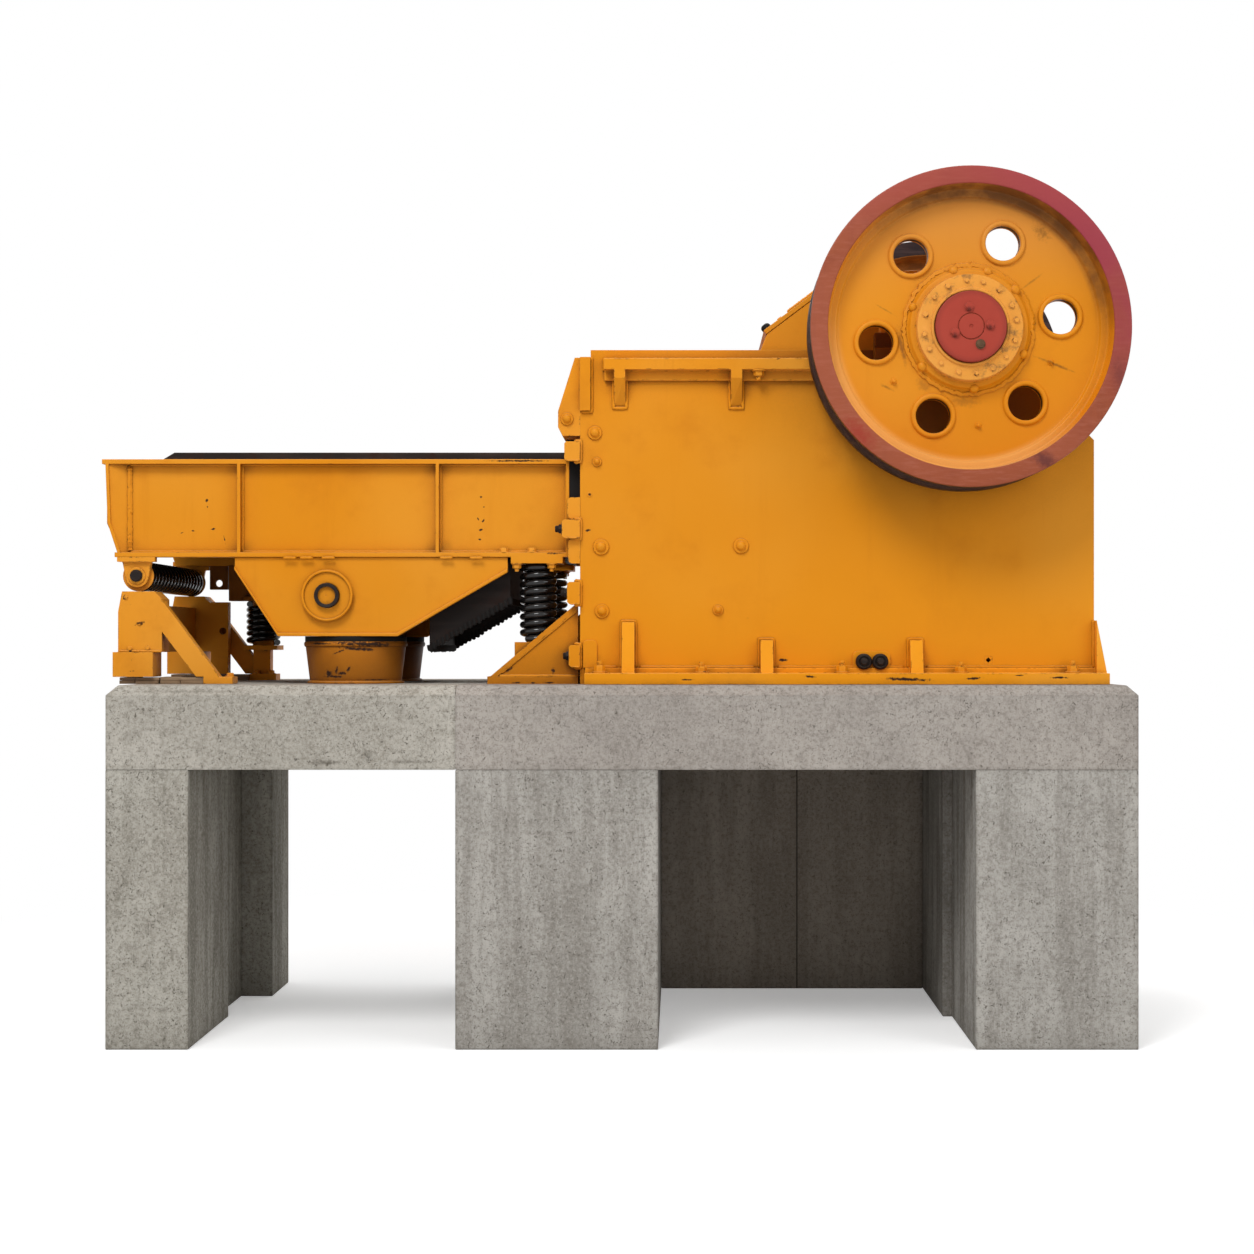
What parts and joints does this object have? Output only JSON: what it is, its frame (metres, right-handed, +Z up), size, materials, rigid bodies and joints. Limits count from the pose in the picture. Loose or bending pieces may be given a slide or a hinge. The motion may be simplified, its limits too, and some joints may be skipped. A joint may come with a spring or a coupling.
{
  "type": "jaw crusher",
  "caption": "Jaw crusher with flywheels and a toothed jaw chamber, fed by a spring-mounted vibrating feeder, on a concrete plinth with open bays.",
  "frame": {"origin": "ground level at the middle of the plinth, on the underside of its middle leg", "axes": "+X from the feeder towards the crusher's flywheels, +Y across the machine, +Z up"},
  "size_m": [4.766, 2.09, 3.963],
  "materials": {
    "concrete_light": "matte",
    "concrete_brown": "matte",
    "orange_paint": "semi-gloss",
    "red_paint": "semi-gloss",
    "dark_steel": "matte",
    "worn_manganese": "worn",
    "machined_steel": "satin",
    "black_rubber": "matte",
    "spring_steel": "gloss",
    "packing_wood": "weathered"
  },
  "bodies": {
    "frame": {"feeder_slab": "concrete_light", "crusher_slab": "concrete_brown", "left_leg": "concrete_light", "middle_leg": "concrete_brown", "right_leg": "concrete_brown", "back_wall": "concrete_brown", "near_side_plate": "orange_paint", "far_side_plate": "orange_paint", "base_flanges": "orange_paint", "top_rails": "orange_paint", "feed_hood": "orange_paint", "front_wall": "orange_paint", "rear_wall": "orange_paint", "toggle_block": "orange_paint", "toggle_plate": "dark_steel", "tie_pins": "dark_steel", "clamp_blocks": "orange_paint", "clamp_studs": "dark_steel", "fixed_jaw": "worn_manganese", "cheek_plates": "worn_manganese", "bearing_housings": "orange_paint", "near_feeder_side": "orange_paint", "far_feeder_side": "orange_paint", "rear_lugs": "orange_paint", "far_spring_hanger": "orange_paint", "feeder_liners": "dark_steel", "feeder_pan": "dark_steel", "feeder_rear_plate": "orange_paint", "grizzly_bars": "dark_steel", "grizzly_chute": "dark_steel", "near_exciter_plate": "orange_paint", "far_exciter_plate": "orange_paint", "exciter_tube": "orange_paint", "buffer_stands": "orange_paint", "buffer_pads": "black_rubber", "coil_springs": "spring_steel", "front_stands": "orange_paint", "rear_pin": "dark_steel", "rear_coil": "spring_steel", "near_rear_stand": "orange_paint", "far_rear_stand": "orange_paint", "rear_stand_cross_plate": "orange_paint", "wood_packing": "packing_wood"},
    "rotor": {"eccentric_shaft": "machined_steel", "near_flywheel": "orange_paint", "far_flywheel": "orange_paint", "hub_caps": "red_paint"},
    "jaw": {"pitman": "orange_paint", "swing_jaw": "worn_manganese", "pitman_guard": "orange_paint"}
  },
  "joints": [
    {"name": "rotor_spin", "type": "hinge", "parent": "frame", "child": "rotor", "pos_m": [1.561, 0, 3.245], "axis": [0, 1, 0], "continuous": true},
    {"name": "pitman_swing", "type": "hinge", "parent": "rotor", "child": "jaw", "pos_m": [1.561, 0, 3.233], "axis": [0, 1, 0], "continuous": true}
  ],
  "couplings": [
    {"joint": "pitman_swing", "follows": "rotor_spin", "ratio": -1}
  ]
}
